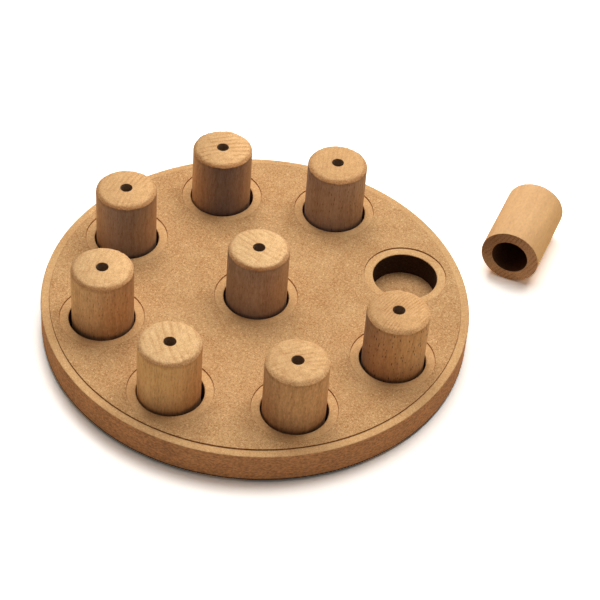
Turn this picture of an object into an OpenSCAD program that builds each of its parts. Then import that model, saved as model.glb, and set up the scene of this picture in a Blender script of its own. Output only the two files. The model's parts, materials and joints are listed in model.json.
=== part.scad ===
// Round wooden puzzle feeder for dogs: a board with nine pockets, nine hollow blocks and five rubber feet.
// Origin: under the middle of the board, at floor level, +Z up. +Y is the way that the loose block lies.

/* [Board] */
// Diameter of the board
board_d = 280; // [272:1:320]
// Thickness of the board
board_t = 22; // [15:0.5:30]
// Width of the lowered band along the rim
rim_band_w = 5.6; // [3:0.1:9]
// Depth of the lowered bands along the rim and around the pockets
band_depth = 1; // [0.4:0.1:2]
// Bevel on the board's outer edges
rim_bevel = 0.6; // [0.2:0.1:1.5]

/* [Pockets] */
// Distance from the middle of the board to the middle of a pocket in the ring
ring_r = 102; // [80:0.5:106]
// Angle of the open pocket from +X, anticlockwise from above
open_angle = 37; // [0:1:90]
// Wood left under a pocket
pocket_floor_t = 4.5; // [3:0.5:8]
// Gap between a centred block and its pocket's wall
pocket_gap = 1.2; // [0.5:0.1:2]
// Width of the lowered band around a pocket
pocket_band_w = 6.1; // [3:0.1:9]
// Bevel on the edge of a pocket's mouth
pocket_bevel = 0.4; // [0.2:0.1:1]

/* [Blocks] */
// Diameter of a block
block_d = 40; // [36:0.5:44]
// Length of a block
block_l = 60; // [40:1:90]
// Diameter of the hollow in a block
hollow_d = 25; // [16:0.5:30]
// Wood left between the hollow and the top of a block
block_top_t = 12; // [6:0.5:20]
// Diameter of the scent hole through a block's top
scent_d = 8; // [5:0.5:12]
// Width of the bevel around a block's top
top_bevel_w = 2.5; // [1:0.1:4]
// Height of the bevel around a block's top
top_bevel_h = 2.1; // [1:0.1:4]
// Bevel on the outer edge of a block's open end
mouth_bevel = 0.4; // [0.2:0.1:1]

/* [Loose block] */
// Distance from the board's rim to the middle of the loose block's open end
loose_gap = 39; // [30:1:120]
// Angle of that point from +X, anticlockwise from above
loose_angle = 39.5; // [20:0.5:60]

/* [Feet] */
// Diameter of a foot
foot_d = 16; // [10:1:24]
// Thickness of a foot
foot_t = 2; // [1:0.5:5]
// Distance from the middle of the board to the middle of an outer foot
foot_ring_r = 122; // [90:1:125]
// Bevel on the lower edge of a foot
foot_bevel = 0.4; // [0.1:0.1:0.8]

/* [Hidden] */
// How far each block in the ring stands off the middle of its pocket, as shares of the gap around it
rest_shift = [[-0.2, -0.1], [-0.35, -0.55], [-0.3, 0.05], [0.2, 0.65], [-0.6, -0.3], [-0.2, -0.35], [0.1, 0]];
ring_count = len(rest_shift) + 1;
foot_count = 4;

board_r = board_d / 2;
board_z = foot_t;
top_z = board_z + board_t;
band_z = top_z - band_depth;
seat_z = board_z + pocket_floor_t;

block_r = block_d / 2;
hollow_l = block_l - block_top_t;
pocket_r = block_r + pocket_gap;
pocket_band_r = pocket_r + pocket_band_w;

pocket_step = 360 / ring_count;
foot_step = 360 / foot_count;
loose_reach = board_r + loose_gap;

// The cut for a pocket runs this far past the top of the board
cut_over = 1;

mdf = [0.79, 0.61, 0.42];
beech = [0.88, 0.69, 0.46];
rubber = [0.13, 0.12, 0.11];

$fn = 180;

function polar(r, a) = [r * cos(a), r * sin(a)];

// Middle of pocket k in the ring; pocket 0 is the open one
function pocket_at(k) = polar(ring_r, open_angle + k * pocket_step);

// The outer feet stand halfway between two pockets
function foot_at(k) = polar(foot_ring_r, open_angle + pocket_step / 2 + k * foot_step);

module pocket_cut() {
    rotate_extrude()
        polygon([
            [0, seat_z],
            [pocket_r, seat_z],
            [pocket_r, band_z - pocket_bevel],
            [pocket_r + pocket_bevel, band_z],
            [pocket_band_r, band_z],
            [pocket_band_r, top_z + cut_over],
            [0, top_z + cut_over]
        ]);
}

module board() {
    color(mdf)
    difference() {
        rotate_extrude()
            polygon([
                [0, board_z],
                [board_r - rim_bevel, board_z],
                [board_r, board_z + rim_bevel],
                [board_r, band_z - rim_bevel],
                [board_r - rim_bevel, band_z],
                [board_r - rim_band_w, band_z],
                [board_r - rim_band_w, top_z],
                [0, top_z]
            ]);
        pocket_cut();
        for (k = [0 : ring_count - 1])
            translate(pocket_at(k)) pocket_cut();
    }
}

// A block standing on its open end, with its hollow below and the scent hole above
module block() {
    color(beech)
    rotate_extrude()
        polygon([
            [hollow_d / 2, 0],
            [block_r - mouth_bevel, 0],
            [block_r, mouth_bevel],
            [block_r, block_l - top_bevel_h],
            [block_r - top_bevel_w, block_l],
            [scent_d / 2, block_l],
            [scent_d / 2, hollow_l],
            [hollow_d / 2, hollow_l]
        ]);
}

module seated_block(at) {
    translate([at.x, at.y, seat_z]) block();
}

module ring_block(k) {
    seated_block(pocket_at(k) + pocket_gap * rest_shift[k - 1]);
}

// Lies on its side on the floor, with its open end towards -Y
module loose_block() {
    at = polar(loose_reach, loose_angle);
    translate([at.x, at.y, block_r]) rotate([-90, 0, 0]) block();
}

module foot(at) {
    color(rubber)
    translate(at)
    rotate_extrude()
        polygon([
            [0, 0],
            [foot_d / 2 - foot_bevel, 0],
            [foot_d / 2, foot_bevel],
            [foot_d / 2, foot_t],
            [0, foot_t]
        ]);
}

board();
seated_block([0, 0]);  // centre_block
ring_block(1);  // block_1
ring_block(2);  // block_2
ring_block(3);  // block_3
ring_block(4);  // block_4
ring_block(5);  // block_5
ring_block(6);  // block_6
ring_block(7);  // block_7
loose_block();
foot([0, 0]);  // centre_foot
foot(foot_at(0));  // foot_1
foot(foot_at(1));  // foot_2
foot(foot_at(2));  // foot_3
foot(foot_at(3));  // foot_4
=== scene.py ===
import json
import math
from typing import NamedTuple

import bmesh
import bpy
from bpy.props import FloatProperty, FloatVectorProperty, IntProperty, PointerProperty
from bpy.types import Operator, Panel, PropertyGroup
from mathutils import Matrix, Vector, noise


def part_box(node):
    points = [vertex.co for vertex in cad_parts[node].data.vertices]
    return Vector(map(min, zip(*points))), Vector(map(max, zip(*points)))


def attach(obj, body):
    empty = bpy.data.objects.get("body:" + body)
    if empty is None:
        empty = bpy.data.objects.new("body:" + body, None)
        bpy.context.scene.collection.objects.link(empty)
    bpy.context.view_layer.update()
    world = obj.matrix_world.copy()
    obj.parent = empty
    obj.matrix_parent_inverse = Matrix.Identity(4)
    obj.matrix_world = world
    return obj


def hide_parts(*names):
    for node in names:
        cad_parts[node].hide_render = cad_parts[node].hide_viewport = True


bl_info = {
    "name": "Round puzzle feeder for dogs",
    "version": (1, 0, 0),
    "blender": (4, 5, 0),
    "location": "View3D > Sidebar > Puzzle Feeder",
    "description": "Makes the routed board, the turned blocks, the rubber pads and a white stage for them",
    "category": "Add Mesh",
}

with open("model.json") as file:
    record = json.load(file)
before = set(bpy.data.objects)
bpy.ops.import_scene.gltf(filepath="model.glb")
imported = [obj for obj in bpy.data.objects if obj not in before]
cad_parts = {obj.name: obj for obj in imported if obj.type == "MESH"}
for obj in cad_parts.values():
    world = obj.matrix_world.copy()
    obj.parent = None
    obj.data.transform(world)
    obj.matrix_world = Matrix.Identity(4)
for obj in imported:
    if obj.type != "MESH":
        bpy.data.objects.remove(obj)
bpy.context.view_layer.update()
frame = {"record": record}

MM = 0.001
BODY_OF = {node: body for body, nodes in frame["record"]["behaviour"]["bodies"].items() for node in nodes}

# The board and its pockets, from the frame
BOARD_LOW, BOARD_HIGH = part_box("board")
BOARD_RADIUS = BOARD_HIGH.x
MOUNTS = {mount["name"]: mount for mount in frame["record"]["mounts"]}
OPEN_POCKET = MOUNTS["open_pocket"]
POCKET_RADIUS = OPEN_POCKET["dims"]["r_mm"] * MM
POCKET_SPOT = Vector(OPEN_POCKET["pos_m"])
POCKET_FLOOR = POCKET_SPOT.z - OPEN_POCKET["dims"]["length_mm"] * MM / 2
RING_COUNT = 8

SEATED_BLOCKS = ["centre_block"] + [f"block_{k}" for k in range(1, RING_COUNT)]
LOOSE_BLOCK = "loose_block"
FEET = ["centre_foot"] + [f"foot_{k}" for k in range(1, 5)]

# The block's round size comes from the one that stands in the middle pocket
BLOCK_LOW, BLOCK_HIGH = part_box("centre_block")
BLOCK_RADIUS = BLOCK_HIGH.x
BLOCK_LENGTH = BLOCK_HIGH.z - BLOCK_LOW.z

FRONT_WAY = -69  # Way to the front of the board and of each block, in degrees from the frame's X axis
RIGHT_WAY = FRONT_WAY + 90

HAIR = 0.01 * MM  # Slack that tells a face from the one beside it
MERGE_DISTANCE = 0.001 * MM  # Points closer than this become one
ROUNDING_STEPS = 4  # Flats in each rounded corner
SQUARE_ENOUGH = 0.9999  # Faces at least this square to a piece's axis stay flat


def linear(red, green, blue):
    """Turns a colour given as 0 to 255 into the linear values that shaders use."""
    shares = (channel / 255 for channel in (red, green, blue))
    return tuple(s / 12.92 if s <= 0.04045 else ((s + 0.055) / 1.055) ** 2.4 for s in shares)


def opaque(colour):
    """A colour for a socket that also wants an alpha."""
    return (*colour, 1.0)


def toned(colour, share, green_pace=1.6, blue_pace=2.1):
    """A lighter or darker tone of a colour. Paces over 1 make the dark tones redder."""
    red, green, blue = colour[:3]
    return opaque((red * share, green * share ** green_pace, blue * share ** blue_pace))


WHITE = opaque((1.0, 1.0, 1.0))

# Tints of painted shade: on the mouth face, towards the foot of a block's front, and just under the bevel,
# where a rough cut adds to it
MOUTH_SHADE = opaque((0.63, 0.565, 0.6))
PAINTED_FOOT_SHADE = opaque((0.74, 0.8, 0.97))
BEVEL_SHADE = opaque((0.86, 0.78, 0.7))

# Painted light and shade: tones of beech that the blocks' sides take at the front, from shaded to lit
DARK_BEECH = linear(138, 120, 114)
BROWN_BEECH = linear(162, 139, 123)
GREY_BEECH = linear(190, 160, 138)
UMBER_BEECH = linear(180, 148, 120)
WARM_BEECH = linear(208, 160, 113)
HONEY_BEECH = linear(228, 168, 110)
SAND_BEECH = linear(235, 182, 127)
PALE_BEECH = linear(250, 190, 122)


class Grain(NamedTuple):
    """How the wood lies in one block, its tones, and the light and shade painted on it."""

    turn: float  # Way that the growth lines run, in degrees from the block's own X axis
    rings: float  # Distance from one growth ring to the next, in mm
    lines: float  # Strength of the growth lines on the end grain
    flecks: float  # Strength of the dark flecks on the side
    mottle: float  # Strength of the soft cloudy patches
    end_tone: float  # Brightness of the end grain beside the other blocks
    end_right_light: float  # Painted light: how much paler the end grain is towards its right edge
    wear_and_shade: float  # Brightness of the bevel beside the top, darkened partly by wear and partly by painted shade that is stronger towards the front
    left: tuple  # Painted light and shade on the side's left edge, seen from the front
    front: tuple  # Painted light and shade on the side's front
    right: tuple  # Painted light and shade on the side's right edge, seen from the front
    fibres: float = 1.0  # Strength of the fibres on the side
    painted_shade: float = 1.0  # Strength of the painted shade on the side: towards the foot, round the pocket's mouth and under the bevel


GRAIN = {
    "centre_block": Grain(turn=165, rings=4.0, lines=0.6, flecks=0.3, mottle=0.9,
                          end_tone=1.06, end_right_light=0.13, wear_and_shade=0.46,
                          left=UMBER_BEECH, front=GREY_BEECH, right=WARM_BEECH),
    "block_1": Grain(turn=108, rings=3.0, lines=0.3, flecks=0.7, mottle=0.7,
                     end_tone=0.915, end_right_light=0.05, wear_and_shade=0.7,
                     left=GREY_BEECH, front=GREY_BEECH, right=WARM_BEECH),
    "block_2": Grain(turn=38, rings=3.9, lines=0.85, flecks=0.3, mottle=0.8,
                     end_tone=0.97, end_right_light=0.22, wear_and_shade=0.59,
                     left=SAND_BEECH, front=DARK_BEECH, right=WARM_BEECH),
    "block_3": Grain(turn=91, rings=3.2, lines=0.55, flecks=0.35, mottle=0.7,
                     end_tone=0.95, end_right_light=0.12, wear_and_shade=0.62,
                     left=HONEY_BEECH, front=BROWN_BEECH, right=WARM_BEECH),
    "block_4": Grain(turn=100, rings=3.0, lines=0.3, flecks=0.5, mottle=1.0,
                     end_tone=1.0, end_right_light=0.19, wear_and_shade=0.59,
                     left=PALE_BEECH, front=SAND_BEECH, right=WARM_BEECH),
    "block_5": Grain(turn=130, rings=4.6, lines=0.65, flecks=0.25, mottle=0.9,
                     end_tone=1.045, end_right_light=0.08, wear_and_shade=0.62,
                     left=PALE_BEECH, front=PALE_BEECH, right=HONEY_BEECH),
    "block_6": Grain(turn=41, rings=3.4, lines=0.45, flecks=0.25, mottle=1.3,
                     end_tone=0.965, end_right_light=0.1, wear_and_shade=0.82,
                     left=WARM_BEECH, front=HONEY_BEECH, right=HONEY_BEECH),
    "block_7": Grain(turn=76, rings=2.0, lines=0.75, flecks=1.1, mottle=0.8,
                     end_tone=0.91, end_right_light=0.16, wear_and_shade=0.86,
                     left=UMBER_BEECH, front=HONEY_BEECH, right=HONEY_BEECH),
    "loose_block": Grain(turn=-59, rings=2.6, lines=0.7, flecks=0.12, mottle=0.6,
                         end_tone=0.95, end_right_light=0.3, wear_and_shade=0.68,
                         left=SAND_BEECH, front=SAND_BEECH, right=PALE_BEECH, fibres=0.12, painted_shade=0.0),
}


def length_property(name, description, default):
    return FloatProperty(name=name, description=description, default=default, min=0, precision=5,
                         subtype="DISTANCE", unit="LENGTH")


def angle_property(name, description, degrees):
    return FloatProperty(name=name, description=description, default=math.radians(degrees),
                         subtype="ANGLE", unit="ROTATION")


def colour_property(name, description, default):
    return FloatVectorProperty(name=name, description=description, default=default, min=0, max=1, size=3,
                               subtype="COLOR")


class FeederBoardSettings(PropertyGroup):
    rim_band: length_property("Rim band", "Width of the lowered band along the rim", 5.6 * MM)
    band_depth: length_property("Band depth", "Depth of the lowered bands", 1.0 * MM)
    pocket_band: length_property("Pocket band", "Width of the lowered band around a pocket", 6.1 * MM)
    rim_rounding: length_property("Rim rounding", "Rounding of the board's outer edges", 0.9 * MM)
    foot_rounding: length_property("Foot rounding", "Rounding of the board's lower edge", 0.4 * MM)
    # Painted shadow: a dark strip along the foot of the outer wall, next to the floor
    foot_shadow_height: length_property("Burnt edge", "Height of the wall's foot that the saw burnt", 1.1 * MM)
    step_rounding: length_property("Step rounding", "Rounding along the top of each step", 0.22 * MM)
    pocket_rounding: length_property("Pocket rounding", "Rounding of each pocket's mouth", 1.0 * MM)
    floor_rounding: length_property("Floor rounding", "Rounding where a pocket's wall meets its floor",
                                    0.3 * MM)
    face_colour: colour_property("Face", "Colour of the sanded face", linear(214, 165, 111))
    band_colour: colour_property("Band", "Colour of the routed bands", linear(231, 181, 123))
    # The front wall's colour is a painted shade hue; the back wall's is the plain edge colour
    wall_colour: colour_property("Wall", "Colour of the outer wall at the front", linear(208, 146, 97))
    wall_back_colour: colour_property("Wall's back", "Colour of the outer wall at the back",
                                      linear(196, 150, 106))
    pocket_colour: colour_property("Pocket floor", "Colour of the pockets' floors", linear(200, 152, 102))
    # Dark colour of the pockets' walls: partly burn, partly painted shade in the pockets and the gaps round
    # the blocks; it also paints the shadow at the outer wall's foot
    burnt_and_shaded_colour: colour_property("Pocket wall", "Colour of the pockets' walls, which the cutter burnt",
                                     linear(70, 50, 38))
    step_colour: colour_property("Step", "Colour of the steps' cut edges", linear(168, 116, 74))


class FeederBlockSettings(PropertyGroup):
    hollow_width: length_property("Hollow", "Diameter of the hollow", 25 * MM)
    top_thickness: length_property("Top", "Wood left above the hollow", 12 * MM)
    scent_hole: length_property("Scent hole", "Diameter of the hole through the top", 8 * MM)
    bevel_width: length_property("Bevel width", "Width of the bevel around the top", 2.5 * MM)
    bevel_height: length_property("Bevel height", "Height of the bevel around the top", 1.9 * MM)
    bevel_softness: length_property("Bevel softness", "Rounding of the bevel's two edges", 0.6 * MM)
    bevel_wander: length_property("Bevel wander", "How far the sanded bevel's edges wander", 0.7 * MM)
    dome: length_property("Dome", "Fall of the sanded top from the scent hole to the bevel", 0.5 * MM)
    mouth_rounding: length_property("Mouth rounding", "Rounding of the open end's outer edge", 0.4 * MM)
    hole_rounding: length_property("Hole rounding",
                                   "Rounding of the edges of the hollow and of the scent hole", 0.2 * MM)
    end_colour: colour_property("End grain", "Colour of the end grain", linear(236, 186, 129))
    side_colour: colour_property("Side grain", "Colour of the side grain at a block's back",
                                 linear(222, 172, 122))
    fleck_colour: colour_property("Fleck", "Colour of the flecks where rays end", linear(92, 62, 44))
    bored_colour: colour_property("Scent hole's wood", "Colour of the wood inside the scent hole",
                                  linear(165, 134, 106))
    # Dark hollow: partly burn, partly painted shade inside it
    burnt_and_shaded_colour: colour_property("Hollow's wood", "Colour of the hollow's wood, which the drill burnt",
                                     linear(98, 62, 40))
    heart_distance: length_property("Heart distance", "How far the block was cut from the heart of the tree",
                                    120 * MM)


class FeederFootSettings(PropertyGroup):
    edge_rounding: length_property("Edge rounding", "Rounding of the pad's lower edge", 0.4 * MM)
    groove_width: length_property("Groove width", "Width of each grip groove", 0.8 * MM)
    groove_depth: length_property("Groove depth", "Depth of each grip groove", 0.35 * MM)
    groove_count: IntProperty(name="Grooves", description="Grip grooves in each pad", default=3, min=0, max=4)
    rubber_colour: colour_property("Rubber", "Colour of the rubber", linear(52, 49, 46))


class FeederStageSettings(PropertyGroup):
    camera_reach: length_property("Camera reach",
                                  "Distance of the camera from the board's middle, along the floor", 0.91745)
    camera_height: length_property("Camera height", "Height of the camera above the floor", 0.9054)
    camera_side: angle_property("Camera side", "Way to the camera, from -Y towards +X", 21.13)
    camera_pitch: angle_property("Camera pitch", "How far the camera looks down", 43.903)
    camera_heading: angle_property("Camera heading", "Way that the camera looks, from +Y towards -X", 19.331)
    camera_roll: angle_property("Camera roll", "How far the camera leans", 4.763)
    lens: FloatProperty(name="Lens", description="Focal length in millimetres", default=116.64, min=1)
    floor_size: length_property("Floor size", "Width of the floor", 12.0)


class Value:
    """An output of a shader node, which Python's operators carry on with Math nodes."""

    def __init__(self, graph, socket):
        self.graph = graph
        self.socket = socket

    def __add__(self, other):
        return self.graph.math("ADD", self, other)

    def __sub__(self, other):
        return self.graph.math("SUBTRACT", self, other)

    def __mul__(self, other):
        return self.graph.math("MULTIPLY", self, other)

    def __truediv__(self, other):
        return self.graph.math("DIVIDE", self, other)

    def __rsub__(self, other):
        return self.graph.math("SUBTRACT", other, self)

    __radd__ = __add__
    __rmul__ = __mul__

    def swing(self, strength):
        """Makes a pattern that lies about 0.5 swing about 0, this strongly."""
        return (self - 0.5) * strength


class Graph:
    """The shader nodes of one material or of the world."""

    def __init__(self, owner):
        owner.use_nodes = True
        self.owner = owner
        self.tree = owner.node_tree
        self.tree.nodes.clear()

    def node(self, kind, settings=None, sockets=None, output=0):
        """Adds a node, sets its own settings, then gives its sockets their values or links."""
        made = self.tree.nodes.new(kind)
        for key, setting in (settings or {}).items():
            setattr(made, key, setting)
        for key, given in (sockets or {}).items():
            if isinstance(given, Value):
                self.tree.links.new(given.socket, made.inputs[key])
            else:
                made.inputs[key].default_value = given
        return Value(self, made.outputs[output]) if made.outputs else None

    def outputs(self, kind, settings=None, sockets=None):
        """Adds a node and gives all of its outputs by name."""
        made = self.node(kind, settings, sockets).socket.node
        return {socket.name: Value(self, socket) for socket in made.outputs}

    def math(self, operation, *operands):
        return self.node("ShaderNodeMath", {"operation": operation}, dict(enumerate(operands)))

    def smooth(self, value, low, high):
        """Rises softly from 0 at low to 1 at high."""
        return self.node("ShaderNodeMapRange", {"interpolation_type": "SMOOTHSTEP"},
                         {"Value": value, "From Min": low, "From Max": high})

    def mix(self, share, first, second):
        """Mixes two colours."""
        return self.node("ShaderNodeMix", {"data_type": "RGBA"}, {0: share, 6: first, 7: second}, output=2)

    def shaded(self, tone, colour, darkest, lightest, *paces):
        """A colour that goes from its darkest share to its lightest as the tone goes from 0 to 1."""
        return self.mix(tone, toned(colour, darkest, *paces), toned(colour, lightest, *paces))

    def tinted(self, first, second):
        """Multiplies two colours."""
        return self.node("ShaderNodeVectorMath", {"operation": "MULTIPLY"}, {0: first, 1: second})

    def multiply_add(self, first, second, third):
        """Multiplies two vectors and adds a third."""
        return self.node("ShaderNodeVectorMath", {"operation": "MULTIPLY_ADD"},
                         {0: first, 1: second, 2: third})

    def length(self, vector):
        return self.node("ShaderNodeVectorMath", {"operation": "LENGTH"}, {0: vector}, output="Value")

    def grown(self, vector, sizes):
        """Stretches a pattern to cells of these sizes in mm: one for X, Y and Z each, or one for all."""
        each = sizes if isinstance(sizes, tuple) else (sizes, sizes, sizes)
        return self.node("ShaderNodeVectorMath", {"operation": "DIVIDE"},
                         {0: vector, 1: [size * MM for size in each]})

    def object_place(self):
        return self.node("ShaderNodeTexCoord", output="Object")

    def height(self, vector):
        """The Z of a vector."""
        return self.node("ShaderNodeSeparateXYZ", sockets={0: vector}, output="Z")

    def lean(self, place, degrees, radius):
        """How far a place lies that way from the axis of a round piece, from -1 to 1."""
        way = math.radians(degrees)
        share = (math.cos(way) / radius, math.sin(way) / radius, 0.0)
        return self.node("ShaderNodeVectorMath", {"operation": "DOT_PRODUCT"}, {0: place, 1: share},
                         output="Value")

    def noise(self, vector, sizes, detail=2.0, roughness=0.5, distortion=0.0):
        """A soft pattern about 0.5, whose blots have these sizes in mm."""
        return self.node("ShaderNodeTexNoise", {"normalize": True},
                         {"Vector": self.grown(vector, sizes), "Scale": 1.0, "Detail": detail,
                          "Roughness": roughness, "Distortion": distortion})

    def spots(self, vector, sizes, smallest, largest, softness):
        """Separate spots, one to a cell of these sizes in mm. Their radii are shares of the cell."""
        cells = self.outputs("ShaderNodeTexVoronoi", {"feature": "F1"},
                             {"Vector": self.grown(vector, sizes), "Scale": 1.0})
        chance = self.node("ShaderNodeSeparateColor", sockets={0: cells["Color"]})
        radius = chance * (largest - smallest) + smallest
        return self.smooth(radius - cells["Distance"], 0.0, softness)

    def seen_rays(self):
        """1 for rays that show a thing, also in gloss or through glass, and 0 for those that light it."""
        path = self.outputs("ShaderNodeLightPath")
        rays = path["Is Camera Ray"] + path["Is Glossy Ray"] + path["Is Transmission Ray"]
        return self.math("MINIMUM", rays, 1.0)

    def surface(self, colour, roughness, height, bump_distance, gloss=0.01):
        """Ends a material in a Principled shader with a bump."""
        normal = self.node("ShaderNodeBump",
                           sockets={"Strength": 1.0, "Distance": bump_distance, "Height": height})
        shader = self.node("ShaderNodeBsdfPrincipled",
                           sockets={"Base Color": colour, "Roughness": roughness, "Normal": normal,
                                    "Specular IOR Level": gloss})
        self.node("ShaderNodeOutputMaterial", sockets={"Surface": shader})
        return self.owner


def fibreboard(name, colour, speckle=1.0, fuzz=1.0):
    """Sanded fibreboard: matted clumps, pale strands, a few dark splinters and broad patches."""
    graph = Graph(bpy.data.materials.new(name))
    place = graph.object_place()
    clumps = graph.noise(place, 1.5, roughness=0.6, distortion=0.6)
    grit = graph.noise(place, 0.6, detail=1.0)
    patches = graph.noise(place, 30, detail=3.0)
    strands = (graph.spots(place, (3.6, 1.4, 1.4), 0.06, 0.3, 0.14)
               + graph.spots(place, (1.4, 3.6, 1.4), 0.06, 0.3, 0.14))
    splinters = graph.spots(place, 3.4, 0.02, 0.16, 0.07)
    blots = graph.noise(place, 9, roughness=0.6)
    tone = (0.42 + clumps.swing(1.3 * speckle) + grit.swing(1.5 * speckle) + patches.swing(0.35)
            + blots.swing(0.4 * speckle) + strands * (0.5 * speckle) - splinters * (0.5 * speckle))
    fibre = graph.shaded(tone, colour, 0.66, 1.34)
    return graph.surface(fibre, 0.82, clumps * 0.5 + grit * 0.5, 0.05 * MM * fuzz)


def edge_fibreboard(name, colour, back_colour):
    """The board's sawn and sanded edge, whose fibres lie in thin layers, with a painted shade hue at the
    front.
    """
    graph = Graph(bpy.data.materials.new(name))
    place = graph.object_place()
    layers = graph.noise(place, (6, 6, 0.6), detail=3.0, roughness=0.6)
    clumps = graph.noise(place, (1.8, 1.8, 1.2), roughness=0.6)
    patches = graph.noise(place, (26, 26, 14), detail=1.0)
    splinters = graph.spots(place, (5, 5, 2.4), 0.03, 0.18, 0.08)
    tone = 0.52 + layers.swing(1.2) + clumps.swing(2.4) + patches.swing(0.6) - splinters * 0.5
    fibre = graph.shaded(tone, WHITE, 0.67, 1.32, 1.0, 0.8)
    # Painted shade hue at the front of the wall, fading to the back wall's colour
    front = graph.smooth(graph.lean(place, FRONT_WAY, BOARD_RADIUS), -0.7, 0.2)
    fibre = graph.tinted(fibre, graph.mix(front, opaque(back_colour), opaque(colour)))
    return graph.surface(fibre, 0.85, layers * 0.5 + clumps * 0.5, 0.08 * MM)


def block_place(graph, pose):
    """A place in a block's own directions: X along the growth lines and Z along the block."""
    return graph.node("ShaderNodeMapping", {"vector_type": "TEXTURE"},
                      {"Vector": graph.object_place(), "Location": pose.to_translation(),
                       "Rotation": pose.to_euler()})


def growth(graph, place, settings):
    """How far a place is from the tree's heart, and that, X and Z as a place that follows the rings."""
    out = graph.length(graph.multiply_add(place, (1.0, 1.0, 0.0), (0.0, settings.heart_distance, 0.0)))
    parts = graph.outputs("ShaderNodeSeparateXYZ", sockets={0: place})
    return out, graph.node("ShaderNodeCombineXYZ", sockets={0: out, 1: parts["X"], 2: parts["Z"]})


def painted_light_across(graph, place, grain):
    """The painted light and shade on a block's side, from its left edge through its front to its right edge.
    """
    lean = graph.lean(place, RIGHT_WAY - grain.turn, BLOCK_RADIUS)
    tones = list(zip(grain.left, grain.front, grain.right))
    slope = [(right - left) / 2 for left, _, right in tones]
    bend = [(left + right) / 2 - front for left, front, right in tones]
    return graph.multiply_add(lean * lean, bend, graph.multiply_add(lean, slope, grain.front))


def end_beech(name, pose, grain, settings):
    """Beech cut across: growth rings that come and go, fine pores, soft clouds, a bevel darkened by wear and
    painted shade, painted shade on the mouth, painted light to the right.
    """
    graph = Graph(bpy.data.materials.new(name))
    place = block_place(graph, pose)
    height_up = graph.height(place)
    facing = graph.lean(place, FRONT_WAY - grain.turn, BLOCK_RADIUS)

    out, ringed = growth(graph, place, settings)
    wander = graph.noise(place, (14, 14, 90))
    ring = graph.math("FRACT", out / (grain.rings * MM) + wander * 0.6)
    late_wood = graph.smooth(ring, 0.3, 0.8) * graph.smooth(1.0 - ring, 0.0, 0.25)
    dots = graph.noise(ringed, (0.8, 2.2, 3), detail=1.0)
    faint = graph.smooth(graph.noise(place, (17, 17, 60), detail=1.0), 0.32, 0.62)
    lines = graph.noise(ringed, (0.8, 26, 60), detail=1.0)
    pores = graph.noise(place, 0.8, roughness=0.65)
    clouds = graph.noise(place, (5, 5, 9), detail=2.5, roughness=0.55)

    mouth = 1.0 - graph.smooth(height_up, 1.0 * MM, 3.0 * MM)
    drop = BLOCK_LENGTH - settings.dome - height_up
    wear_and_shade = graph.smooth(drop + clouds.swing(1.4 * MM), 0.0, 1.0 * MM)
    clear = (1.0 - wear_and_shade * 0.8 + mouth) * grain.lines
    tone = (0.6 - late_wood * faint * (dots * 0.9 + 0.08) * clear - lines.swing(clear) * 0.25
            - pores.swing(wear_and_shade * 0.9 + 1.5) + clouds.swing(0.8 * grain.mottle))
    wood = graph.shaded(tone, settings.end_colour, 0.7 * grain.end_tone, 1.22 * grain.end_tone)

    # Painted shade: the mouth face darker and greyer, and the bevel darker, both more so towards the front
    shade = graph.mix(mouth, toned(WHITE, grain.wear_and_shade, 1.5, 1.85), MOUTH_SHADE)
    wood = graph.tinted(wood, graph.mix(wear_and_shade * (facing * 0.45 + 0.55 + mouth * 0.45), WHITE, shade))
    # Painted light: the end grain paler towards its right edge
    right_light = graph.lean(place, RIGHT_WAY - grain.turn, BLOCK_RADIUS) * grain.end_right_light + 1.0
    return graph.surface(graph.tinted(wood, right_light), 0.68, lines * 0.3 + pores * 0.7, 0.02 * MM)


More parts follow.
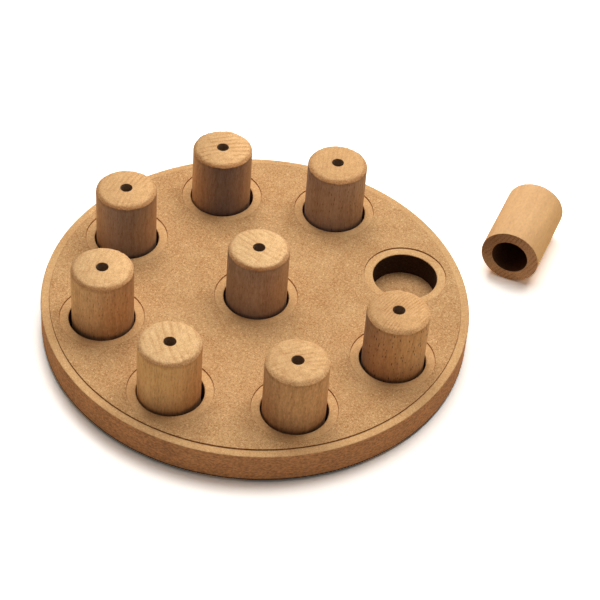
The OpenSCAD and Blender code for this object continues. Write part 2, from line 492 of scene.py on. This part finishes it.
def side_beech(name, pose, grain, settings):
    """Beech cut along: short fibres, small dark flecks where the rays end, soft streaks and clouds, and
    painted light and shade on the front.
    """
    graph = Graph(bpy.data.materials.new(name))
    place = block_place(graph, pose)
    height_up = graph.height(place)
    front = graph.smooth(graph.lean(place, FRONT_WAY - grain.turn, BLOCK_RADIUS), -0.6, 0.05)

    _, ringed = growth(graph, place, settings)
    fibres = graph.noise(place, (0.7, 0.7, 6), detail=2.5, roughness=0.65)
    lines = graph.noise(ringed, (1.6, 30, 90))
    streaks = graph.noise(place, (8, 8, 50))
    clouds = graph.noise(place, (1.5, 1.5, 2.6), detail=2.5, roughness=0.65)
    dashes = graph.spots(place, (1.5, 1.5, 4.2), 0.04, 0.34, 0.14)
    tone = (0.6 + fibres.swing(1.1 * grain.fibres) + lines.swing(0.6 * grain.fibres) + streaks.swing(0.5)
            + clouds.swing(0.8 * grain.mottle) - dashes * (0.2 * grain.fibres))
    wood = graph.shaded(tone, WHITE, 0.66, 1.32, 1.35, 1.55)
    # Painted light and shade across the side's front, fading to the plain side colour at the back
    side = graph.mix(front, opaque(settings.side_colour), painted_light_across(graph, place, grain))
    wood = graph.tinted(wood, side)

    flecks = graph.spots(place, (1.1, 1.1, 4.4), 0.1, 0.38, 0.2)
    thick = graph.smooth(graph.noise(place, (12, 12, 24), detail=1.0), 0.25, 0.5)
    wood = graph.mix(flecks * thick * (0.85 * grain.flecks), wood, opaque(settings.fleck_colour))

    # Painted shade: the front of the side darker and greyer towards the foot
    low = (1.0 - graph.smooth(height_up, 12 * MM, 44 * MM)) * front
    wood = graph.tinted(wood, graph.mix(low * grain.painted_shade, WHITE, PAINTED_FOOT_SHADE))
    # Darker ragged band just under the bevel: partly a rough cut, partly painted shade
    under_bevel = BLOCK_LENGTH - settings.bevel_height - height_up + clouds.swing(2.4 * MM)
    fringe = (1.0 - graph.smooth(under_bevel, 0.4 * MM, 3.0 * MM)) * grain.painted_shade
    wood = graph.tinted(wood, graph.mix(fringe, WHITE, BEVEL_SHADE))
    # Painted shade: a patchy darker ring where the block stands in the pocket's mouth
    pocket_mouth_shade = (1.0 - graph.smooth(height_up, 16 * MM, 19.5 * MM)) * graph.smooth(height_up, 3 * MM, 15 * MM)
    wood = graph.tinted(wood, 1.0 - pocket_mouth_shade * streaks * (0.3 * grain.painted_shade))

    height = fibres * 0.5 - dashes * 0.3 - flecks * (0.4 * grain.flecks)
    return graph.surface(wood, 0.66, height, 0.04 * MM)


def bored_beech(name, colour):
    """Rough beech inside a bore."""
    graph = Graph(bpy.data.materials.new(name))
    rough = graph.noise(graph.object_place(), 1.4, detail=3.0, roughness=0.6)
    return graph.surface(graph.shaded(rough, colour, 0.6, 1.4), 0.8, rough, 0.2 * MM)


def rubber(name, colour):
    """Matt moulded rubber with a fine dusty grain."""
    graph = Graph(bpy.data.materials.new(name))
    dust = graph.noise(graph.object_place(), 0.9, detail=3.0, roughness=0.6)
    return graph.surface(graph.shaded(dust, colour, 0.7, 1.4), 0.6 + dust * 0.3, dust, 0.05 * MM, gloss=0.3)


def draw_outline(mesh, corners, closed):
    """Draws an outline of (radius, height, rounding) corners beside the Z axis and rounds its corners."""
    points = [mesh.verts.new((radius, 0, height)) for radius, height, _ in corners]
    for near, far in zip(points, points[1:]):
        mesh.edges.new((near, far))
    if closed:
        mesh.edges.new((points[-1], points[0]))
    for point, (_, _, rounding) in zip(points, corners):
        if rounding:
            bmesh.ops.bevel(mesh, geom=[point], offset=rounding, offset_type="OFFSET",
                            segments=ROUNDING_STEPS, profile=0.5, affect="VERTICES", material=-1)


def turn(mesh, corners, closed, steps, place=(0, 0, 0)):
    """Turns an outline round the Z axis, as on a lathe, and adds the shape to a mesh at its place."""
    lathe = bmesh.new()
    draw_outline(lathe, corners, closed)
    bmesh.ops.spin(lathe, geom=lathe.verts[:] + lathe.edges[:], cent=(0, 0, 0), axis=(0, 0, 1),
                   angle=math.tau, steps=steps, use_merge=True)
    bmesh.ops.remove_doubles(lathe, verts=lathe.verts[:], dist=MERGE_DISTANCE)
    bmesh.ops.translate(lathe, verts=lathe.verts[:], vec=place)
    turned = bpy.data.meshes.new("turned")
    lathe.to_mesh(turned)
    lathe.free()
    mesh.from_mesh(turned)
    bpy.data.meshes.remove(turned)


def finish_piece(mesh, name, node, materials, axis=(0, 0, 1)):
    """Puts a turned mesh in the scene in place of its CAD node. Its faces square to the axis stay flat."""
    bmesh.ops.recalc_face_normals(mesh, faces=mesh.faces[:])
    for face in mesh.faces:
        face.smooth = abs(face.normal.dot(Vector(axis))) < SQUARE_ENOUGH
    shape = bpy.data.meshes.new(name)
    mesh.to_mesh(shape)
    mesh.free()
    for material in materials:
        shape.materials.append(material)
    piece = bpy.data.objects.new(name, shape)
    bpy.context.scene.collection.objects.link(piece)
    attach(piece, BODY_OF[node])
    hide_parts(node)


def pocket_spots():
    """The middles of all nine pockets: the one in the middle, then the ring from the open pocket."""
    reach = math.hypot(POCKET_SPOT.x, POCKET_SPOT.y)
    first = math.atan2(POCKET_SPOT.y, POCKET_SPOT.x)
    turns = [first + math.tau * k / RING_COUNT for k in range(RING_COUNT)]
    return [Vector((0, 0, 0))] + [Vector((reach * math.cos(a), reach * math.sin(a), 0)) for a in turns]


class FEEDER_OT_board(Operator):
    """Make the round board with its rim, its pockets and the lowered bands around them"""

    bl_idname = "feeder.board"
    bl_label = "Board"
    bl_options = {"REGISTER", "UNDO"}

    FACE, BAND, WALL, FLOOR, SCORCHED, STEP = range(6)
    RIM_STEPS = 288
    POCKET_STEPS = 128
    RIM_SHARE = 0.3  # Share of the rim's rounding that is finished like the band
    MOUTH_SHARE = 0.1  # Share of a pocket's rounding that is finished like the band; the rest gets the pocket walls' dark colour, painted shade that widens the gap round a block
    LEVEL_ENOUGH = 0.7  # Faces at least this level in a pocket belong to its floor

    def zone(self, face, spots, settings):
        """Names the finish of a face from where it lies."""
        middle = face.calc_center_median()
        top = BOARD_HIGH.z
        band = top - settings.band_depth
        band_low = band - settings.rim_rounding * self.RIM_SHARE
        to_pocket = min((middle.xy - spot.xy).length for spot in spots)
        in_pocket = to_pocket < POCKET_RADIUS + settings.pocket_band + HAIR
        # Pocket walls and most of each mouth rounding: dark from burn and from painted shade
        if in_pocket and middle.z < band - settings.pocket_rounding * self.MOUTH_SHARE:
            return self.FLOOR if face.normal.z > self.LEVEL_ENOUGH else self.SCORCHED
        if band + HAIR < middle.z < top - HAIR:
            return self.STEP
        if band_low < middle.z < top - HAIR:
            return self.BAND
        if middle.xy.length > BOARD_RADIUS - settings.rim_rounding and middle.z > BOARD_LOW.z + HAIR:
            # Painted shadow along the foot of the outer wall
            return self.SCORCHED if middle.z < BOARD_LOW.z + settings.foot_shadow_height else self.WALL
        return self.FACE

    def execute(self, context):
        settings = context.scene.feeder_board
        top, low = BOARD_HIGH.z, BOARD_LOW.z
        band = top - settings.band_depth
        rim_step = BOARD_RADIUS - settings.rim_band
        pocket_step = POCKET_RADIUS + settings.pocket_band
        rounding = settings.step_rounding
        spots = pocket_spots()

        mesh = bmesh.new()
        turn(mesh, [(0, low, 0), (BOARD_RADIUS, low, settings.foot_rounding),
                    (BOARD_RADIUS, low + settings.foot_shadow_height, 0),
                    (BOARD_RADIUS, band, settings.rim_rounding), (rim_step, band, rounding / 2),
                    (rim_step, top, rounding), (rim_step - 2 * rounding, top, 0)],
             closed=False, steps=self.RIM_STEPS)
        for spot in spots:
            turn(mesh, [(0, POCKET_FLOOR, 0), (POCKET_RADIUS, POCKET_FLOOR, settings.floor_rounding),
                        (POCKET_RADIUS, band, settings.pocket_rounding), (pocket_step, band, rounding / 2),
                        (pocket_step, top, rounding), (pocket_step + 2 * rounding, top, 0)],
                 closed=False, steps=self.POCKET_STEPS, place=spot)
        rims = [edge for edge in mesh.edges if edge.is_boundary]
        bmesh.ops.triangle_fill(mesh, use_beauty=True, use_dissolve=False, edges=rims, normal=(0, 0, 1))
        if any(not edge.is_manifold for edge in mesh.edges):
            raise RuntimeError("the board's mesh isn't closed")
        bmesh.ops.recalc_face_normals(mesh, faces=mesh.faces[:])
        for face in mesh.faces:
            face.material_index = self.zone(face, spots, settings)
        finish_piece(mesh, "routed_board", "board", [
            fibreboard("sanded fibreboard", settings.face_colour),
            fibreboard("routed fibreboard", settings.band_colour, speckle=0.45, fuzz=0.6),
            edge_fibreboard("fibreboard edge", settings.wall_colour, settings.wall_back_colour),
            fibreboard("bored fibreboard", settings.pocket_colour, speckle=0.8, fuzz=1.5),
            fibreboard("scorched fibreboard", settings.burnt_and_shaded_colour, speckle=0.9, fuzz=1.5),
            fibreboard("cut fibreboard", settings.step_colour, speckle=0.8, fuzz=1.5),
        ])
        return {"FINISHED"}


class FEEDER_OT_blocks(Operator):
    """Make the nine hollow blocks, each with its own grain"""

    bl_idname = "feeder.blocks"
    bl_label = "Blocks"
    bl_options = {"REGISTER", "UNDO"}

    END, SIDE, BORED, SCORCHED = range(4)
    BLOCK_STEPS = 192
    DOME_RINGS = 6
    MOUTH_SHARE = 0.3  # Share of the mouth's rounding that shows end grain
    WEAR_PACE = 3.5  # How closely the worn edges wander
    WEAR_FRACTAL = (0.6, 2.0, 3)  # Increment, lacunarity and octaves of the wandering
    SEED_STEP = 7.3  # Keeps the wear of two blocks apart
    EDGE_SEED = 40  # Keeps the wear of a bevel's two edges apart

    def outline(self, settings):
        """Half the block's section: hollow from below, scent hole from above, domed top and bevel."""
        hollow, scent = settings.hollow_width / 2, settings.scent_hole / 2
        ceiling = BLOCK_LENGTH - settings.top_thickness
        inner = BLOCK_RADIUS - settings.bevel_width
        dome = []
        for k in range(self.DOME_RINGS):
            share = 1 - k / self.DOME_RINGS
            dome.append((scent + (inner - scent) * share, BLOCK_LENGTH - settings.dome * share ** 2,
                         settings.bevel_softness if k == 0 else 0))
        return [
            (hollow, 0, settings.hole_rounding),
            (BLOCK_RADIUS, 0, settings.mouth_rounding),
            (BLOCK_RADIUS, BLOCK_LENGTH - settings.bevel_height, settings.bevel_softness),
            *dome,
            (scent, BLOCK_LENGTH, settings.hole_rounding),
            (scent, ceiling, settings.hole_rounding),
            (hollow, ceiling, settings.hole_rounding),
        ]

    def zone(self, face, settings):
        """Names the finish of a face of a block that stands on its mouth."""
        middle = face.calc_center_median()
        reach = middle.xy.length
        ceiling = BLOCK_LENGTH - settings.top_thickness
        # Hollow: dark from burn and from painted shade
        if reach < settings.hollow_width / 2 and middle.z < ceiling + settings.hole_rounding + HAIR:
            return self.SCORCHED
        if reach < settings.scent_hole / 2 + HAIR and middle.z < BLOCK_LENGTH - settings.hole_rounding:
            return self.BORED
        if middle.z > BLOCK_LENGTH - settings.bevel_height:
            return self.END
        return self.END if middle.z < settings.mouth_rounding * self.MOUTH_SHARE else self.SIDE

    def wear(self, way, seed):
        """How worn an edge is at one place round the block, from 0 to 1."""
        share = 0.5 + 0.8 * noise.fractal(way * self.WEAR_PACE + Vector((0, 0, seed)), *self.WEAR_FRACTAL)
        return max(0.0, min(1.0, share))

    def wear_bevel(self, points, settings, seed):
        """Lets the two edges of the sanded bevel wander, always inwards."""
        inner = Vector((BLOCK_RADIUS - settings.bevel_width, BLOCK_LENGTH - settings.dome))
        outer = Vector((BLOCK_RADIUS, BLOCK_LENGTH - settings.bevel_height))
        reach = settings.bevel_softness + HAIR
        for point in points:
            radius = math.hypot(point.co.x, point.co.y)
            here = Vector((radius, point.co.z))
            way = Vector((point.co.x, point.co.y, 0)) / radius
            if (here - inner).length < reach:
                point.co -= way * settings.bevel_wander * self.wear(way, seed)
            elif (here - outer).length < reach:
                point.co.z -= settings.bevel_wander * self.wear(way, seed + self.EDGE_SEED)

    def execute(self, context):
        settings = context.scene.feeder_blocks
        bored = bored_beech("bored beech", settings.bored_colour)
        burnt_and_shaded = bored_beech("scorched beech", settings.burnt_and_shaded_colour)
        for number, node in enumerate(SEATED_BLOCKS + [LOOSE_BLOCK]):
            low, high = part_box(node)
            middle = (low + high) / 2
            if node == LOOSE_BLOCK:
                lie = Matrix.Translation((middle.x, low.y, middle.z)) @ Matrix.Rotation(-math.pi / 2, 4, "X")
            else:
                lie = Matrix.Translation((middle.x, middle.y, low.z))
            grain = GRAIN[node]
            mesh = bmesh.new()
            turn(mesh, self.outline(settings), closed=True, steps=self.BLOCK_STEPS)
            for face in mesh.faces:
                face.material_index = self.zone(face, settings)
            self.wear_bevel(mesh.verts, settings, number * self.SEED_STEP)
            bmesh.ops.transform(mesh, matrix=lie, verts=mesh.verts[:])
            pattern = lie @ Matrix.Rotation(math.radians(grain.turn), 4, "Z")
            finish_piece(mesh, f"turned_{node}", node, [
                end_beech(f"end grain of {node}", pattern, grain, settings),
                side_beech(f"side grain of {node}", pattern, grain, settings),
                bored,
                burnt_and_shaded,
            ], axis=lie.to_3x3() @ Vector((0, 0, 1)))
        return {"FINISHED"}


class FEEDER_OT_feet(Operator):
    """Make the five rubber pads with their grip grooves"""

    bl_idname = "feeder.feet"
    bl_label = "Feet"
    bl_options = {"REGISTER", "UNDO"}

    PAD_STEPS = 96
    FIRST_GROOVE = 0.7  # Start of the innermost groove, as a share of the grooves' pitch
    GROOVE_SOFTNESS = 0.3  # Rounding of a groove's corners, as a share of its depth

    def execute(self, context):
        settings = context.scene.feeder_feet
        material = rubber("matt rubber", settings.rubber_colour)
        depth = settings.groove_depth
        soft = depth * self.GROOVE_SOFTNESS
        for node in FEET:
            low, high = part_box(node)
            middle = (low + high) / 2
            radius = (high.x - low.x) / 2
            height = high.z - low.z
            pitch = radius / (settings.groove_count + 1)
            corners = [(0, 0, 0)]
            for k in range(settings.groove_count):
                start = pitch * (k + self.FIRST_GROOVE)
                end = start + settings.groove_width
                corners += [(start, 0, soft), (start, depth, soft), (end, depth, soft), (end, 0, soft)]
            corners += [(radius, 0, settings.edge_rounding), (radius, height, 0), (0, height, 0)]
            mesh = bmesh.new()
            turn(mesh, corners, closed=False, steps=self.PAD_STEPS, place=(middle.x, middle.y, low.z))
            finish_piece(mesh, f"grip_{node}", node, [material])
        return {"FINISHED"}


class FEEDER_OT_stage(Operator):
    """Make the white floor, the soft lights and the camera"""

    bl_idname = "feeder.stage"
    bl_label = "Stage"
    bl_options = {"REGISTER", "UNDO"}

    SHOWN_FLOOR = opaque((1.8, 1.76, 1.68))  # Over 1, so that the camera sees unshaded floor as white
    SHADOW_LIFT = opaque((1.0, 0.8, 0.65))
    LIFT_STRENGTH = 0.03
    LIT_FLOOR = opaque((0.95, 0.9, 0.84))  # What the floor throws back on the object
    FADE_START, FADE_END = 0.35, 0.9  # Distances from the middle at which the floor turns plain white
    SKY_GLOW = opaque((1.0, 0.92, 0.84))
    GLOW_STRENGTH = 0.1

    # Name, place, width, height and power of each soft box
    SOFT_BOXES = (
        ("high_soft_box", (-0.1, 0.72, 1.8), 1.8, 1.3, 21.3),
        ("overhead_soft_box", (0.0, 0.1, 1.8), 1.2, 1.0, 4.9),
        ("left_soft_box", (-0.6, 0.7, 1.5), 0.6, 0.6, 5.6),
        ("right_soft_box", (0.45, 0.7, 1.5), 0.6, 0.6, 2.9),
    )

    def floor_material(self):
        """White to the camera where nothing shades it, and plain to the light."""
        graph = Graph(bpy.data.materials.new("white floor"))
        white = graph.node("ShaderNodeBsdfDiffuse", sockets={"Color": self.SHOWN_FLOOR})
        lift = graph.node("ShaderNodeEmission",
                          sockets={"Color": self.SHADOW_LIFT, "Strength": self.LIFT_STRENGTH})
        near = graph.node("ShaderNodeAddShader", sockets={0: white, 1: lift})
        far = graph.node("ShaderNodeEmission", sockets={"Color": WHITE, "Strength": 1.0})
        away = graph.smooth(graph.length(graph.object_place()), self.FADE_START, self.FADE_END)
        shown = graph.node("ShaderNodeMixShader", sockets={0: away, 1: near, 2: far})
        plain = graph.node("ShaderNodeBsdfDiffuse", sockets={"Color": self.LIT_FLOOR})
        both = graph.node("ShaderNodeMixShader", sockets={0: graph.seen_rays(), 1: plain, 2: shown})
        graph.node("ShaderNodeOutputMaterial", sockets={"Surface": both})
        return graph.owner

    def floor(self, settings):
        """Lays the floor."""
        mesh = bmesh.new()
        bmesh.ops.create_grid(mesh, x_segments=1, y_segments=1, size=settings.floor_size / 2)
        shape = bpy.data.meshes.new("white_floor")
        mesh.to_mesh(shape)
        mesh.free()
        shape.materials.append(self.floor_material())
        floor = bpy.data.objects.new("white_floor", shape)
        bpy.context.scene.collection.objects.link(floor)

    def sky(self):
        """Shows a white background and adds a little even light."""
        world = bpy.data.worlds.new("white studio")
        bpy.context.scene.world = world
        graph = Graph(world)
        glow = graph.node("ShaderNodeBackground",
                          sockets={"Color": self.SKY_GLOW, "Strength": self.GLOW_STRENGTH})
        white = graph.node("ShaderNodeBackground", sockets={"Color": WHITE, "Strength": 1.0})
        both = graph.node("ShaderNodeMixShader", sockets={0: graph.seen_rays(), 1: glow, 2: white})
        graph.node("ShaderNodeOutputWorld", sockets={"Surface": both})

    def soft_box(self, name, place, width, height, power):
        """Hangs a soft box that faces the middle of the floor."""
        lamp = bpy.data.lights.new(name, "AREA")
        lamp.shape = "RECTANGLE"
        lamp.size = width
        lamp.size_y = height
        lamp.energy = power
        holder = bpy.data.objects.new(name, lamp)
        aim = (-Vector(place)).to_track_quat("-Z", "Y").to_matrix().to_4x4()
        holder.matrix_world = Matrix.Translation(place) @ aim
        holder.visible_camera = False
        bpy.context.scene.collection.objects.link(holder)

    def camera(self, settings):
        """Stands the camera where the photograph was taken from."""
        lens = bpy.data.cameras.new("camera")
        lens.sensor_width = 36.0
        lens.lens = settings.lens
        lens.clip_start = 0.05
        lens.clip_end = 50.0
        holder = bpy.data.objects.new("camera", lens)
        side = settings.camera_side
        place = Vector((settings.camera_reach * math.sin(side), -settings.camera_reach * math.cos(side),
                        settings.camera_height))
        aim = (Matrix.Rotation(settings.camera_heading, 4, "Z")
               @ Matrix.Rotation(math.pi / 2 - settings.camera_pitch, 4, "X")
               @ Matrix.Rotation(settings.camera_roll, 4, "Z"))
        holder.matrix_world = Matrix.Translation(place) @ aim
        bpy.context.scene.collection.objects.link(holder)
        bpy.context.scene.camera = holder

    def execute(self, context):
        settings = context.scene.feeder_stage
        self.floor(settings)
        self.sky()
        for row in self.SOFT_BOXES:
            self.soft_box(*row)
        self.camera(settings)
        context.scene.view_settings.view_transform = "Standard"
        return {"FINISHED"}


class FEEDER_PT_parts(Panel):
    """Lists the steps that make the puzzle feeder"""

    bl_label = "Puzzle Feeder"
    bl_space_type = "VIEW_3D"
    bl_region_type = "UI"
    bl_category = "Puzzle Feeder"

    def draw(self, context):
        for step, group in STEPS:
            box = self.layout.box()
            box.operator(step.bl_idname)
            settings = getattr(context.scene, group)
            for name in settings.__annotations__:
                box.prop(settings, name)


STEPS = (
    (FEEDER_OT_board, "feeder_board"),
    (FEEDER_OT_blocks, "feeder_blocks"),
    (FEEDER_OT_feet, "feeder_feet"),
    (FEEDER_OT_stage, "feeder_stage"),
)

SETTINGS = {
    "feeder_board": FeederBoardSettings,
    "feeder_blocks": FeederBlockSettings,
    "feeder_feet": FeederFootSettings,
    "feeder_stage": FeederStageSettings,
}

CLASSES = (*SETTINGS.values(), *(step for step, _ in STEPS), FEEDER_PT_parts)


def register():
    for kind in CLASSES:
        bpy.utils.register_class(kind)
    for name, kind in SETTINGS.items():
        setattr(bpy.types.Scene, name, PointerProperty(type=kind))


def unregister():
    for name in SETTINGS:
        delattr(bpy.types.Scene, name)
    for kind in reversed(CLASSES):
        bpy.utils.unregister_class(kind)


def main():
    """Makes every piece and the stage."""
    register()
    bpy.ops.feeder.board()
    bpy.ops.feeder.blocks()
    bpy.ops.feeder.feet()
    bpy.ops.feeder.stage()


if __name__ == "__main__":
    main()
